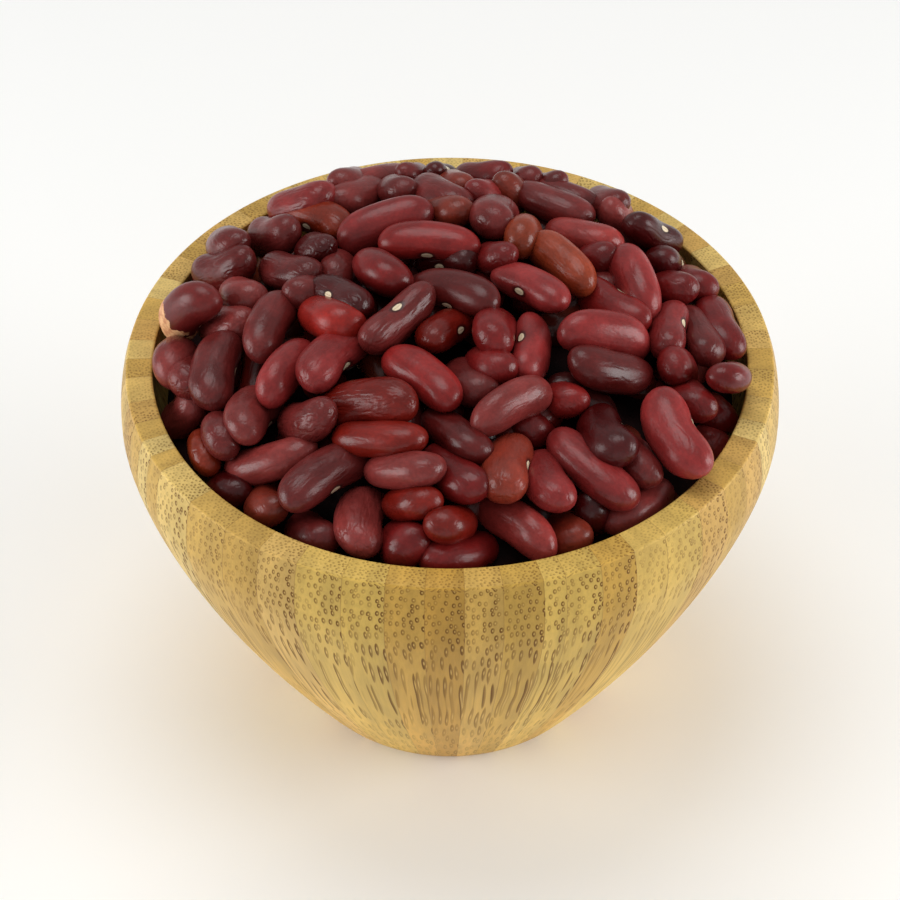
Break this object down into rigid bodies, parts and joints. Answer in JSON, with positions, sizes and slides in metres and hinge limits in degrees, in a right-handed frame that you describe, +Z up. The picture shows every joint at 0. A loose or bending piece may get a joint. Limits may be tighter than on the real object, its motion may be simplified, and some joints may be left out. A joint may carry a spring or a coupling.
{
  "type": "bowl of dried beans",
  "caption": "Turned bamboo bowl with a flat foot and a rounded rim, heaped above the rim with dried red kidney beans.",
  "frame": {"origin": "middle of the bowl's foot, on the surface it stands on", "axes": "+Z up out of the bowl's mouth, -Y towards the pictured side"},
  "size_m": [0.1232, 0.1232, 0.0974],
  "materials": {
    "bamboo": "satin, lightly oiled bamboo",
    "bean_skin": "satin dried bean skin"
  },
  "bodies": {
    "root": {"bowl": "bamboo", "beans": "bean_skin"}
  },
  "joints": []
}
